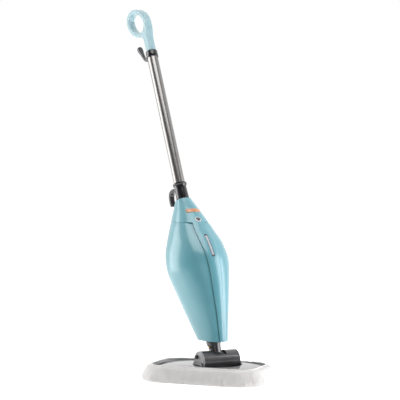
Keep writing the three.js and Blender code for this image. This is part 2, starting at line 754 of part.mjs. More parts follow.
function upperHook() {
  const hub = alongY(rod(8, 24.4, 33, 20)).translate(0, 0, HOOK_AT);
  const arm = bar([
    [0, 31, HOOK_AT], [0, 44, HOOK_AT + 1], [0, 55, HOOK_AT + 8], [0, 60, HOOK_AT + 22], [0, 63, HOOK_AT + 38],
    [0, 68, HOOK_AT + 54],
  ], 5, 10, 8);
  const tip = new THREE.SphereGeometry(7.5, 12, 7);
  tip.scale(0.95, 0.95, 1.25);
  tip.translate(0, 68.5, HOOK_AT + 55);
  return joined(hub, arm, tip);
}

function wholeHandle() {
  const loop = new THREE.Shape().absellipse(
    LOOP_CENTRE.x, LOOP_CENTRE.y, LOOP_OUTER.x, LOOP_OUTER.y, 0, 2 * Math.PI, false, LOOP_TILT);
  const hole = new THREE.Path().absellipse(
    LOOP_CENTRE.x, LOOP_CENTRE.y, LOOP_INNER.x, LOOP_INNER.y, 0, 2 * Math.PI, true, LOOP_TILT);
  loop.holes.push(hole);
  const stem = new THREE.Shape();
  stem.moveTo(-HANDLE_HALF, HANDLE_BASE);
  stem.lineTo(-HANDLE_HALF, 1004);
  stem.bezierCurveTo(-13, 1022, -22, 1028, -20, 1052);
  stem.lineTo(-4, 1052);
  stem.bezierCurveTo(0, 1040, 16, 1038, 30, 1042);
  stem.bezierCurveTo(14, 1028, 12, 1016, HANDLE_HALF, 1000);
  stem.lineTo(HANDLE_HALF, HANDLE_BASE);
  stem.closePath();
  return solid(sideways(loop, HANDLE_HALF, 4, 16)).add(solid(sideways(stem, HANDLE_HALF, 2, 6)));
}

function addUpper() {
  const black = material(BLACK, 0.2);
  const pale = material(PALE_AQUA, 0.3);
  place(mop, 'tube_socket', ring(TUBE_RADIUS + GAP, 18.2, 440, 477.6), material(DARK_GREY, 0.5));
  place(mop, 'collar', turned([
    [TUBE_RADIUS + GAP, 482.4], [18.6, 482.4], [17.3, 520], [18, 524], [20.4, 526.5], [20.4, 530.5],
    [18, 532], [TUBE_RADIUS + GAP, 532], [TUBE_RADIUS + GAP, 482.4],
  ], 32), black);
  place(mop, 'lower_cord_hook', lowerHook(), black);
  place(mop, 'steel_tube', ring(TUBE_RADIUS - TUBE_WALL, TUBE_RADIUS, TUBE_BOTTOM, TUBE_TOP, 32),
    material(STEEL, 0.2, 1));
  place(mop, 'handle_plug', rod(TUBE_RADIUS - TUBE_WALL - GAP, 925, 965.8), material(DARK_GREY, 0.6));
  const ferrule = ring(TUBE_RADIUS + GAP, 17.8, 945, 965.8, 36);
  const boss = alongY(rod(7, 17, 21.5, 20)).translate(0, 0, HOOK_AT);
  const bore = rod(TUBE_RADIUS + GAP, 930, 980, 36);
  const pinHole = alongY(rod(3.3, 15, 30, 14)).translate(0, 0, HOOK_AT);
  place(mop, 'ferrule', cut(joined(ferrule, boss), bore, pinHole), black);
  place(mop, 'hook_pin', alongY(turned([[0, 16.6], [3, 16.6], [3, 21.8], [6, 22], [6, 24], [0, 24]], 14))
    .translate(0, 0, HOOK_AT), material(STEEL, 0.4, 1));
  place(mop, 'upper_cord_hook', upperHook(), black);
  const handle = wholeHandle();
  const split = 0.15;
  const side = (x) => solid(block(40, 300, 300, x, 30, 1080));
  place(mop, 'handle_left', surfaceOf(handle.subtract(side(20 - split))), pale);
  place(mop, 'handle_right', surfaceOf(handle.subtract(side(-20 + split))), pale);
}

addHead();
addJoint();
addShells();
addWorks();
addUpper();

export default model;
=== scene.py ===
import json
import math

import bmesh
import bpy
from mathutils import Matrix, Vector, noise


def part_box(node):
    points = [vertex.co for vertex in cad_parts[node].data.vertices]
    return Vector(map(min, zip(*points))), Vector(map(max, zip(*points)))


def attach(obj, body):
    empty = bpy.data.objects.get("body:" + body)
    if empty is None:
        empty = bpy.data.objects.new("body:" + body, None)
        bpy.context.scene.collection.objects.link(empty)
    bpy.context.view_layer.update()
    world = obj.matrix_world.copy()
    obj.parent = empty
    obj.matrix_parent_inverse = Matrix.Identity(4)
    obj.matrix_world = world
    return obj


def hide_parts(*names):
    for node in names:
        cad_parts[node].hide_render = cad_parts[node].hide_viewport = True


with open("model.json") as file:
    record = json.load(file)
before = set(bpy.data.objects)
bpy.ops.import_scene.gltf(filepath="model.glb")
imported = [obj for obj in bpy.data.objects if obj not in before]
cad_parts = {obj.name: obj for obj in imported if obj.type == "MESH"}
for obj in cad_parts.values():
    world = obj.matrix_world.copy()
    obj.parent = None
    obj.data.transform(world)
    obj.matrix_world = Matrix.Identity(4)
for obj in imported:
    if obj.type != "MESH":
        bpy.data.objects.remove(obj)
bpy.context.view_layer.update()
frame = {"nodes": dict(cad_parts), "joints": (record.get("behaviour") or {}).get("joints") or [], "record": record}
scene = bpy.context.scene

# The three local frames below hold millimetres, and their matrices turn them into metres of the world.
MM = 0.001
LEAN = math.radians(26)
HEAD_YAW = math.radians(-49)
JOINTS = {joint["name"]: joint for joint in frame["joints"]}
PIVOT = Vector(JOINTS["handle_pitch"]["pos_m"])
HEAD = Matrix.Rotation(HEAD_YAW, 4, "Z") @ Matrix.Scale(MM, 4)
JOINT = Matrix.Translation(PIVOT) @ Matrix.Scale(MM, 4)
MOP = Matrix.Translation(PIVOT) @ Matrix.Rotation(-LEAN, 4, "X") @ Matrix.Scale(MM, 4)
ALONG_X = Matrix.Rotation(math.pi / 2, 4, "Y")
TO_REAR = Matrix.Rotation(-math.pi / 2, 4, "X")

PAD_HALF_LENGTH, PAD_HALF_WIDTH, PAD_CORNER, PAD_HEIGHT = 172.5, 104, 72, 43
PLATE_HALF_LENGTH, PLATE_HALF_WIDTH, PLATE_CORNER, PLATE_SHIFT = 157, 94, 62, 6
TURRET_X, WELL_RADIUS, DOME_TOP = 26, 67, 43.5
BARREL_RADIUS, BARREL_HALF, CAP_THICKNESS = 28.5, 57, 5
SHELL = 2.6
BODY_BASE, PANEL_TOP, BODY_SHOULDER = 60, 415, 478
LEVEL_SLOPE = math.tan(LEAN)
TONGUE_BOTTOM, TONGUE_ANGLE = 362, 0.326
REAR_EXPONENT, REAR_HALF_STRIP = 2 / 2.3, 26
SEAM = 0.3
CUT_REACH = 14
BUTTON_AT, BUTTON_RADIUS, FILLER_AT, GLAND_AT = 393, 6.5, 350, 398
WINDOW_BOTTOM, WINDOW_TOP, WINDOW_HALF = 263, 339, 4.6
TUBE_RADIUS, TUBE_BOTTOM, TUBE_TOP = 16, 446, 962
HOOK_AT = 957
HANDLE_BASE, HANDLE_HALF = 966.3, 11.5
LOOP_CENTRE, LOOP_TILT = (38, 1086), math.radians(42)
LOOP_OUTER, LOOP_INNER = (72, 41), (56, 27)

# Height along the tube axis, half-width, depth in front and depth behind.
BODY_STATIONS = [
    (20, 32, 44, 30), (58, 38, 56, 37), (110, 49, 73, 49), (160, 60, 88, 58), (215, 73, 101, 65),
    (270, 84.5, 104, 71.5), (320, 82, 92, 71), (365, 68, 73, 64), (405, 52, 58, 54), (440, 38, 43, 42),
    (462, 29, 31.5, 32), (482, 21.5, 22, 22),
]
# Height along the tube axis and half-width of the front spine.
SPINE_STATIONS = [
    (20, 6.5), (60, 7.5), (118, 11), (173, 15.5), (228, 18),
    (283, 21.5), (325, 23.8), (360, 22.3), (390, 19.5),
]
SPINE_LIMIT = 388


# ---- Camera and studio ----
TOWARD_CAMERA = Vector((-0.454, -0.891, 0)).normalized()
CAMERA_PITCH = math.radians(1.5)
CAMERA_AT = Vector((-1.7504, -3.3839, 0.5898))


def add_camera():
    data = bpy.data.cameras.new("camera")
    data.lens = 126
    data.sensor_width = 36
    camera = bpy.data.objects.new("camera", data)
    scene.collection.objects.link(camera)
    look = -TOWARD_CAMERA * math.cos(CAMERA_PITCH) - Vector((0, 0, math.sin(CAMERA_PITCH)))
    camera.location = CAMERA_AT
    camera.rotation_euler = look.to_track_quat("-Z", "Y").to_euler()
    scene.camera = camera


def add_light(name, place, target, size, power, colour=(1, 1, 1)):
    data = bpy.data.lights.new(name, "AREA")
    data.shape = "RECTANGLE"
    data.size, data.size_y = size
    data.energy = power
    data.color = colour
    light = bpy.data.objects.new(name, data)
    light.location = place
    light.rotation_euler = (Vector(target) - Vector(place)).to_track_quat("-Z", "Y").to_euler()
    scene.collection.objects.link(light)


# World light on the side away from the camera, and on the side towards it.
BEHIND, BEFORE = 1.25, 0.07


def add_world():
    """White for the camera; as light, bright behind the mop and dark before it."""
    world = bpy.data.worlds.new("studio")
    world.use_nodes = True
    scene.world = world
    nodes, links = world.node_tree.nodes, world.node_tree.links
    nodes.clear()
    direction = nodes.new("ShaderNodeTexCoord")
    facing = nodes.new("ShaderNodeVectorMath")
    facing.operation = "DOT_PRODUCT"
    facing.inputs[1].default_value = TOWARD_CAMERA
    level = nodes.new("ShaderNodeMapRange")
    level.interpolation_type = "SMOOTHSTEP"
    level.inputs["From Min"].default_value = -0.35
    level.inputs["From Max"].default_value = 0.75
    level.inputs["To Min"].default_value = BEHIND
    level.inputs["To Max"].default_value = BEFORE
    studio = nodes.new("ShaderNodeBackground")
    backdrop = nodes.new("ShaderNodeBackground")
    backdrop.inputs["Strength"].default_value = 1
    backdrop.inputs["Color"].default_value = (1, 1, 1, 1)
    path = nodes.new("ShaderNodeLightPath")
    choice = nodes.new("ShaderNodeMixShader")
    out = nodes.new("ShaderNodeOutputWorld")
    links.new(direction.outputs["Generated"], facing.inputs[0])
    links.new(facing.outputs["Value"], level.inputs["Value"])
    links.new(level.outputs["Result"], studio.inputs["Strength"])
    links.new(path.outputs["Is Camera Ray"], choice.inputs["Fac"])
    links.new(studio.outputs[0], choice.inputs[1])
    links.new(backdrop.outputs[0], choice.inputs[2])
    links.new(choice.outputs[0], out.inputs["Surface"])


def add_studio():
    scene.view_settings.view_transform = "Standard"
    right = Vector((-TOWARD_CAMERA.y, TOWARD_CAMERA.x, 0))
    middle = Vector((PIVOT.x, 0.2, 0.5))
    add_world()
    up = Vector((0, 0, 1))
    left_place = middle - right * 1.5 - TOWARD_CAMERA * 0.3 + up * 0.1
    right_place = middle + right * 1.6 + TOWARD_CAMERA * 0.3
    add_light("left_strip", left_place, middle, (1.0, 2.2), 22)
    add_light("right_strip", right_place, middle, (1.1, 2.2), 36, (0.97, 0.95, 1))
    add_light("top_box", middle + up * 1.9 + TOWARD_CAMERA * 0.5, middle, (1.4, 1.4), 20)
    add_light("front_fill", middle + TOWARD_CAMERA * 2.6 + up, middle, (1.2, 1.2), 3)


# ---- Materials ----
def node_at(tree, kind, **values):
    node = tree.nodes.new(kind)
    for key, value in values.items():
        node.inputs[key.replace("_", " ")].default_value = value
    return node


def surface(name, dark, light, scale, rough, grain, bump, **shader_values):
    """A procedural material: broad noise sets its colour, fine noise its roughness and bump."""
    material = bpy.data.materials.new(name)
    material.use_nodes = True
    tree = material.node_tree
    shader = tree.nodes["Principled BSDF"]
    for key, value in shader_values.items():
        shader.inputs[key.replace("_", " ")].default_value = value
    where = tree.nodes.new("ShaderNodeTexCoord").outputs["Object"]
    broad = node_at(tree, "ShaderNodeTexNoise", Scale=scale, Detail=3, Roughness=0.55)
    fine = node_at(tree, "ShaderNodeTexNoise", Scale=grain, Detail=4, Roughness=0.6)
    ramp = tree.nodes.new("ShaderNodeValToRGB")
    ramp.color_ramp.elements[0].position = 0.3
    ramp.color_ramp.elements[0].color = (*dark, 1)
    ramp.color_ramp.elements[1].position = 0.7
    ramp.color_ramp.elements[1].color = (*light, 1)
    spread = node_at(tree, "ShaderNodeMapRange", To_Min=rough[0], To_Max=rough[1])
    relief = node_at(tree, "ShaderNodeBump", Strength=bump[0], Distance=bump[1] * MM)
    tree.links.new(where, broad.inputs["Vector"])
    tree.links.new(where, fine.inputs["Vector"])
    tree.links.new(broad.outputs["Fac"], ramp.inputs["Fac"])
    tree.links.new(ramp.outputs["Color"], shader.inputs["Base Color"])
    tree.links.new(fine.outputs["Fac"], spread.inputs["Value"])
    tree.links.new(spread.outputs["Result"], shader.inputs["Roughness"])
    tree.links.new(fine.outputs["Fac"], relief.inputs["Height"])
    tree.links.new(relief.outputs["Normal"], shader.inputs["Normal"])
    return material


def terry(name):
    """Microfibre pile: rounded loops over a soft unevenness, with a fabric sheen."""
    material = surface(name, (0.54, 0.525, 0.51), (0.61, 0.595, 0.585), 26, (0.85, 1.0), 900,
                       (0.35, 0.4), Sheen_Weight=0.35, Sheen_Roughness=0.5, Specular_IOR_Level=0.15)
    tree = material.node_tree
    shader = tree.nodes["Principled BSDF"]
    where = tree.nodes.new("ShaderNodeTexCoord").outputs["Object"]
    loops = node_at(tree, "ShaderNodeTexVoronoi", Scale=420, Randomness=0.9)
    loops.feature = "SMOOTH_F1"
    lift = node_at(tree, "ShaderNodeBump", Strength=0.45, Distance=1.2 * MM)
    lift.invert = True
    first = shader.inputs["Normal"].links[0].from_socket
    tree.links.new(where, loops.inputs["Vector"])
    tree.links.new(loops.outputs["Distance"], lift.inputs["Height"])
    tree.links.new(first, lift.inputs["Normal"])
    tree.links.new(lift.outputs["Normal"], shader.inputs["Normal"])
    return material


MATERIALS = {
    "pad_fabric": terry("pad_terry"),
    "white_plastic": surface("satin_white", (0.74, 0.74, 0.73), (0.84, 0.84, 0.83), 40, (0.35, 0.5), 700,
                             (0.12, 0.1)),
    "cover_plastic": surface("gloss_cover", (0.21, 0.205, 0.205), (0.24, 0.235, 0.23), 18, (0.14, 0.22), 350,
                             (0.03, 0.1), Coat_Weight=0.5, Coat_Roughness=0.06),
    "joint_plastic": surface("dark_grey", (0.04, 0.038, 0.04), (0.055, 0.053, 0.056), 30, (0.2, 0.3), 900,
                             (0.05, 0.1), Coat_Weight=0.7, Coat_Roughness=0.1),
    "black_plastic": surface("gloss_black", (0.006, 0.006, 0.008), (0.014, 0.014, 0.017), 30, (0.1, 0.18),
                             500, (0.03, 0.1), Coat_Weight=0.5, Coat_Roughness=0.05),
    "body_plastic": surface("gloss_aqua", (0.10, 0.295, 0.345), (0.113, 0.315, 0.365), 12, (0.27, 0.34), 260,
                            (0.015, 0.1), Coat_Weight=0.55, Coat_Roughness=0.16),
    "handle_plastic": surface("satin_aqua", (0.27, 0.41, 0.445), (0.285, 0.425, 0.46), 12, (0.3, 0.36), 60,
                              (0.004, 0.02), Coat_Weight=0.4, Coat_Roughness=0.2),
    "window_plastic": surface("smoked_clear", (0.33, 0.34, 0.38), (0.5, 0.51, 0.55), 20, (0.05, 0.12), 300,
                              (0.03, 0.1), Coat_Weight=1.0, Coat_Roughness=0.03),
    "badge_plastic": surface("gloss_orange", (0.50, 0.20, 0.075), (0.55, 0.23, 0.09), 60, (0.22, 0.32), 900,
                             (0.05, 0.1), Coat_Weight=0.6, Coat_Roughness=0.08),
    "inner_plastic": surface("matte_black", (0.02, 0.02, 0.022), (0.035, 0.035, 0.038), 40, (0.5, 0.65), 900,
                             (0.15, 0.15)),
    "board_plastic": surface("board_green", (0.02, 0.09, 0.045), (0.035, 0.13, 0.07), 120, (0.4, 0.55), 700,
                             (0.1, 0.1)),
    "hose_rubber": surface("hose_rubber", (0.012, 0.012, 0.012), (0.022, 0.022, 0.022), 60, (0.55, 0.75),
                           1200, (0.2, 0.12)),
    "tube_steel": surface("satin_tube", (0.29, 0.28, 0.275), (0.32, 0.31, 0.305), 4, (0.26, 0.3), 60,
                          (0.01, 0.02), Metallic=1.0),
    "fastener_steel": surface("zinc_steel", (0.42, 0.42, 0.43), (0.55, 0.55, 0.56), 200, (0.25, 0.4), 900,
                              (0.1, 0.05), Metallic=1.0),
    "screw_brass": surface("dull_brass", (0.4, 0.27, 0.12), (0.5, 0.36, 0.17), 200, (0.3, 0.45), 900,
                           (0.1, 0.05), Metallic=1.0),
    "boiler_alloy": surface("cast_alloy", (0.4, 0.4, 0.41), (0.52, 0.52, 0.53), 150, (0.4, 0.6), 800,
                            (0.3, 0.2), Metallic=1.0),
}
HEM_MATERIAL = surface("hem_knit", (0.64, 0.62, 0.60), (0.76, 0.745, 0.73), 500, (0.8, 0.95), 1500,
                       (0.6, 0.5), Sheen_Weight=0.2, Specular_IOR_Level=0.2)
# Painted highlight: the left end cap gets this grey, lighter than the right cap's dark grey, to stand for the
# light falling on its face.
LIT_CAP_PAINTED_MATERIAL = surface("cap_painted_highlight_grey", (0.2, 0.2, 0.205), (0.27, 0.27, 0.275), 40, (0.3, 0.42), 900,
                       (0.1, 0.1), Coat_Weight=0.2, Coat_Roughness=0.2)
FLOOR_MATERIAL = surface("studio_floor", (0.86, 0.86, 0.86), (0.88, 0.88, 0.88), 3, (0.9, 1.0), 60,
                         (0.02, 0.2), Specular_IOR_Level=0.1, Emission_Color=(1, 1, 1, 1),
                         Emission_Strength=0.6)


# ---- Mesh tools ----
def add_mesh(name, points, faces, place):
    mesh = bpy.data.meshes.new(name)
    mesh.from_pydata([place @ Vector(p) for p in points], [], faces)
    return add_object(name, mesh)


def add_object(name, mesh):
    obj = bpy.data.objects.new(name, mesh)
    scene.collection.objects.link(obj)
    tidy_normals(obj)
    return obj


def tidy_normals(obj, weld=1e-6):
    work = bmesh.new()
    work.from_mesh(obj.data)
    bmesh.ops.remove_doubles(work, verts=work.verts, dist=weld)
    bmesh.ops.recalc_face_normals(work, faces=work.faces)
    for face in work.faces:
        face.smooth = True
    work.to_mesh(obj.data)
    work.free()


def set_vertices(obj, numbers):
    obj.data.vertices.foreach_set("co", numbers)
    obj.data.update()


def modify(obj, kind, **settings):
    modifier = obj.modifiers.new(kind.lower(), kind)
    for key, value in settings.items():
        setattr(modifier, key, value)
    return modifier


def settle(obj):
    """Applies every modifier, so that the mesh itself is final."""
    depsgraph = bpy.context.evaluated_depsgraph_get()
    mesh = bpy.data.meshes.new_from_object(obj.evaluated_get(depsgraph))
    obj.modifiers.clear()
    obj.data = mesh
    return obj


def soften_edges(obj, width, segments=3, angle=35):
    """Rounds the edges, and keeps the normals of the broad faces."""
    modify(obj, "BEVEL", width=width * MM, segments=segments, limit_method="ANGLE",
           angle_limit=math.radians(angle), harden_normals=True)
    return obj


def carve(obj, *cutters):
    for cutter in cutters:
        modify(obj, "BOOLEAN", operation="DIFFERENCE", object=cutter, solver="EXACT")
    settle(obj)
    for cutter in cutters:
        bpy.data.objects.remove(cutter)
    tidy_normals(obj)
    return obj


def dress(obj, body, slot, *nodes, material=None):
    """Gives a piece its slot's material, or the one given, rides it on its body and lets it stand for its CAD
    nodes.
    """
    obj.data.materials.clear()
    obj.data.materials.append(material or MATERIALS[slot])
    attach(obj, body)
    if nodes:
        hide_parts(*nodes)
    return obj


def grid_faces(columns, rows, closed):
    last = columns if closed else columns - 1
    return [(i * rows + j, (i + 1) % columns * rows + j, (i + 1) % columns * rows + j + 1, i * rows + j + 1)
            for i in range(last) for j in range(rows - 1)]


def add_grid(name, point, columns, rows, place, closed=False):
    points = [point(i, j) for i in range(columns) for j in range(rows)]
    return add_mesh(name, points, grid_faces(columns, rows, closed), place)


def turned(name, profile, place, segments=96):
    """A lathe piece about Z from a closed list of (radius, height)."""
    ring = profile + [profile[0]] if profile[0][0] > 0 else profile

    def point(i, j):
        angle = 2 * math.pi * i / segments
        radius, height = ring[j]
        return (radius * math.cos(angle), radius * math.sin(angle), height)

    return add_grid(name, point, segments, len(ring), place, closed=True)


def rounded_ring(low, high, inner, outer):
    return [(inner, low), (outer, low), (outer, high), (inner, high)]


def bezier(start, first, second, end, steps):
    for k in range(steps + 1):
        t = k / steps
        yield tuple((1 - t) ** 3 * a + 3 * (1 - t) ** 2 * t * b + 3 * (1 - t) * t * t * c + t ** 3 * d
                    for a, b, c, d in zip(start, first, second, end))


def sideways(name, outline, half_width, place):
    """An outline of (rearwards, upwards) points, given a thickness across the mop."""
    count = len(outline)
    points = [(side * half_width, y, s) for side in (-1, 1) for y, s in outline]
    faces = [(k, (k + 1) % count, count + (k + 1) % count, count + k) for k in range(count)]
    faces += [tuple(range(count)), tuple(range(2 * count - 1, count - 1, -1))]
    return add_mesh(name, points, faces, place)


def catmull(points, steps):
    """A smooth line through points of any dimension."""
    ends = [tuple(2 * a - b for a, b in zip(points[0], points[1])), *points,
            tuple(2 * a - b for a, b in zip(points[-1], points[-2]))]
    line = []
    for k in range(1, len(ends) - 2):
        for step in range(steps):
            t = step / steps
            line.append(tuple(
                0.5 * (2 * b + (c - a) * t + (2 * a - 5 * b + 4 * c - d) * t * t
                       + (3 * b - a - 3 * c + d) * t ** 3)
                for a, b, c, d in zip(ends[k - 1], ends[k], ends[k + 1], ends[k + 2])))
    return [*line, points[-1]]


def swept(name, path, place, sides=28, closed=False):
    """A round bar along (x, y, z, radius) points, with capped ends."""
    centres = [Vector(p[:3]) for p in path]
    count = len(path)
    points = []
    for k, centre in enumerate(centres):
        before = centres[(k - 1) % count if closed else max(k - 1, 0)]
        after = centres[(k + 1) % count if closed else min(k + 1, count - 1)]
        forward = (after - before).normalized()
        across = forward.cross(Vector((0, 0, 1)) if abs(forward.z) < 0.9 else Vector((1, 0, 0))).normalized()
        if abs(forward.x) < 0.5:
            across = Vector((1, 0, 0))
        up = forward.cross(across).normalized()
        for side in range(sides):
            angle = 2 * math.pi * side / sides
            points.append(centre + path[k][3] * (across * math.cos(angle) + up * math.sin(angle)))
    last = count if closed else count - 1
    faces = [(k * sides + a, (k + 1) % count * sides + a, (k + 1) % count * sides + (a + 1) % sides,
              k * sides + (a + 1) % sides) for k in range(last) for a in range(sides)]
    if not closed:
        faces += [tuple(range(sides)), tuple(range((count - 1) * sides, count * sides))]
    return add_mesh(name, points, faces, place)


def merged(name, *parts):
    """One mesh object from several, each of which may overlap the others."""
    work = bmesh.new()
    for part in parts:
        work.from_mesh(part.data)
    mesh = bpy.data.meshes.new(name)
    work.to_mesh(mesh)
    work.free()
    for part in parts:
        bpy.data.objects.remove(part)
    obj = bpy.data.objects.new(name, mesh)
    scene.collection.objects.link(obj)
    return obj


def blended(obj, voxel, smoothing):
    """Melts overlapping bodies into one smooth skin."""
    modify(obj, "REMESH", mode="VOXEL", voxel_size=voxel * MM, use_smooth_shade=True)
    modify(obj, "SMOOTH", factor=0.5, iterations=smoothing)
    settle(obj)
    tidy_normals(obj)
    return obj


def refined(node, name, edge, angle=30):
    """A CAD piece with its facets smoothed and its edges rounded."""
    mesh = frame["nodes"][node].data.copy()
    mesh.name = name
    if mesh.has_custom_normals:
        mesh.attributes.remove(mesh.attributes["custom_normal"])
    obj = add_object(name, mesh)
    work = bmesh.new()
    work.from_mesh(obj.data)
    bmesh.ops.dissolve_limit(work, angle_limit=math.radians(1), verts=work.verts, edges=work.edges)
    for face in work.faces:
        face.smooth = True
    work.to_mesh(obj.data)
    work.free()
    return soften_edges(obj, edge, 2, angle)


# ---- The body's surface ----
def along(stations, height):
    last = len(stations) - 1
    k = 0
    while k < last - 1 and height > stations[k + 1][0]:
        k += 1

    def slope(i, column):
        before, after = stations[max(i - 1, 0)], stations[min(i + 1, last)]
        return (after[column] - before[column]) / (after[0] - before[0])

    low, high = stations[k], stations[k + 1]
    span = high[0] - low[0]
    t = (height - low[0]) / span
    t2, t3 = t * t, t * t * t
    return [(2 * t3 - 3 * t2 + 1) * low[c] + (3 * t2 - 2 * t3) * high[c]
            + (t3 - 2 * t2 + t) * span * slope(k, c) + (t3 - t2) * span * slope(k + 1, c)
            for c in range(1, len(low))]


def body_point(angle, height, inset=0.0):
    width, front, rear = (value - inset for value in along(BODY_STATIONS, height))
    if math.cos(angle) >= 0:
        return (width * math.sin(angle), -front * math.cos(angle), height)
    across = math.copysign(abs(math.sin(angle)) ** REAR_EXPONENT, math.sin(angle))
    return (width * across, rear * abs(math.cos(angle)) ** REAR_EXPONENT, height)


def level_height(base, angle):
    height = base
    for _ in range(6):
        height = base + LEVEL_SLOPE * body_point(angle, height)[1]
    return height


def spine_angle(height):
    half = along(SPINE_STATIONS, min(height, SPINE_LIMIT))[0]
    return math.asin(half / along(BODY_STATIONS, height)[0])


def rear_angle(height):
    width = along(BODY_STATIONS, height)[0]
    half = min(REAR_HALF_STRIP, 0.6 * width)
    return math.pi - math.asin((half / width) ** (1 / REAR_EXPONENT))


def seam_angle(height):
    return 0.6 * SEAM / along(BODY_STATIONS, height)[0]


def skin_spot(angle_at, top_at, u, v):
    """Angle and height of a point at shares u across and v up a panel."""
    height = BODY_BASE + v * (PANEL_TOP - BODY_BASE)
    angle = angle_at(u, height)
    for _ in range(5):
        low = level_height(BODY_BASE, angle)
        height = low + v * (top_at(angle) - SEAM / 2 - low)
        angle = angle_at(u, height)
    return angle, height


def thicken(obj):
    """Gives a single surface the moulding's wall, inwards."""
    modify(obj, "SOLIDIFY", thickness=SHELL * MM, offset=-1, use_even_offset=True)
    return settle(obj)


def face_outward(obj, centre):
    """Turns an open surface so that its normals point away from a point."""
    mesh = obj.data
    total = sum((face.center - centre).dot(face.normal) * face.area for face in mesh.polygons)
    if total < 0:
        mesh.flip_normals()
    return obj


BODY_CENTRE = MOP @ Vector((0, 0, 260))


def side_panel(side):
    """Side panel: crowned, and tucked in where it meets the spine and the shoulder."""
    columns, rows = 54, 110

    def angle_at(u, height):
        start = spine_angle(height) + seam_angle(height)
        end = rear_angle(height) - seam_angle(height)
        return side * (start + (end - start) * u)

    def point(i, j):
        u, v = i / (columns - 1), j / (rows - 1)
        angle, height = skin_spot(angle_at, lambda a: level_height(PANEL_TOP, a), u ** 1.15, v)
        tuck = 3.4 * math.exp(-(u / 0.15) ** 2) + 0.8 * math.exp(-((1 - v) / 0.02) ** 2)
        return body_point(angle, height, tuck)

    name = "panel_left" if side < 0 else "panel_right"
    obj = face_outward(add_grid(name, point, columns, rows, MOP), BODY_CENTRE)
    dress(soften_edges(thicken(obj), 0.5, 3, 40), "handle_unit", "body_plastic",
          "left_panel" if side < 0 else "right_panel")


def front_shell():
    """Spine, tongue and shoulder as one continuous moulding."""
    across, low_rows, top_rows, around = 20, 100, 40, 120
    edge_low = level_height(PANEL_TOP, TONGUE_ANGLE)

    def half_angle(height):
        if height < TONGUE_BOTTOM:
            return spine_angle(height) - seam_angle(height)
        share = min((height - TONGUE_BOTTOM) / (edge_low - TONGUE_BOTTOM), 1)
        return spine_angle(height) * (1 - share) + TONGUE_ANGLE * share

    def strip(i, j):
        k = 2 * i / (across - 1) - 1
        if j < low_rows:
            share = j / low_rows
            height = BODY_BASE
            for _ in range(5):
                low = level_height(BODY_BASE, k * half_angle(height))
                height = low + share * (edge_low - low)
            tuck = 1.3 * abs(k) ** 6 * min(1, (edge_low - height) / 40)
        else:
            height = edge_low + (BODY_SHOULDER - edge_low) * (j - low_rows) / (top_rows - 1)
            tuck = 0
        return body_point(k * half_angle(height), height, tuck)

    def ring(i, j):
        angle = TONGUE_ANGLE + (2 * math.pi - 2 * TONGUE_ANGLE) * i / (around - 1)
        low = level_height(PANEL_TOP, angle) + SEAM / 2 * min(1, 4 * min(i, around - 1 - i) / around)
        return body_point(angle, low + (BODY_SHOULDER - low) * j / (top_rows - 1))

    spine = add_grid("spine", strip, across, low_rows + top_rows, MOP)
    shoulder = add_grid("shoulder", ring, around, top_rows, MOP)
    obj = merged("front_shell", spine, shoulder)
    tidy_normals(obj, 2e-5)
    face_outward(obj, BODY_CENTRE)
    thicken(obj)
    slot = rounded_slot("window_cutter", WINDOW_HALF, WINDOW_BOTTOM, WINDOW_TOP, -130, -40)
    opening = BUTTON_RADIUS + 2.4
    bore = [(0, -CUT_REACH), (opening, -CUT_REACH), (opening, CUT_REACH), (0, CUT_REACH)]
    hole = turned("button_cutter", bore, MOP @ on_skin(0, BUTTON_AT), 48)
    carve(obj, slot, hole)
    soften_edges(obj, 0.5, 3, 40)
    dress(obj, "handle_unit", "body_plastic", "front_spine", "shoulder_shell")


def on_skin(angle, height):
    """Matrix that stands a piece made about Z out of the skin's middle at a height."""
    y = body_point(angle, height)[1]
    rise = abs(body_point(angle, height + 1)[1]) - abs(body_point(angle, height - 1)[1])
    normal = Vector((0, math.copysign(1, y), -rise / 2)).normalized()
    turn = Vector((0, 0, 1)).rotation_difference(normal).to_matrix().to_4x4()
    return Matrix.Translation((0, y, height)) @ turn


def rounded_slot(name, half_width, bottom, top, low_y, high_y):
    """A slot with round ends, standing across the mop's front."""
    outline = []
    for centre, begin in ((top - half_width, 0), (bottom + half_width, math.pi)):
        for k in range(13):
            angle = begin + math.pi * k / 12
            outline.append((half_width * math.cos(angle), centre + half_width * math.sin(angle)))
    count = len(outline)
    points = [(x, y, s) for y in (low_y, high_y) for x, s in outline]
    faces = [(k, (k + 1) % count, count + (k + 1) % count, count + k) for k in range(count)]
    faces += [tuple(range(count)), tuple(range(2 * count - 1, count - 1, -1))]
    return add_mesh(name, points, faces, MOP)


def rear_panel():
    columns, rows = 24, 110

    def angle_at(u, height):
        half = math.pi - rear_angle(height) - seam_angle(height)
        return math.pi + (2 * u - 1) * half

    def point(i, j):
        u, v = i / (columns - 1), j / (rows - 1)
        angle, height = skin_spot(angle_at, lambda a: level_height(PANEL_TOP, a), u, v)
        return body_point(angle, height, 0.8 * abs(2 * u - 1) ** 10)

    obj = face_outward(add_grid("rear_panel", point, columns, rows, MOP), BODY_CENTRE)
    thicken(obj)
    mouth = 16
    bore = [(0, -CUT_REACH), (mouth, -CUT_REACH), (mouth, CUT_REACH), (0, CUT_REACH)]
    filler = turned("filler_cutter", bore, MOP @ on_skin(math.pi, FILLER_AT), 64)
    gland = turned("gland_cutter", [(0, 20), (7.5, 20), (7.5, 100), (0, 100)],
                   MOP @ Matrix.Translation((0, 0, GLAND_AT)) @ TO_REAR, 48)
    carve(obj, filler, gland)
    soften_edges(obj, 0.5, 3, 40)
    dress(obj, "handle_unit", "body_plastic", "rear_shell")


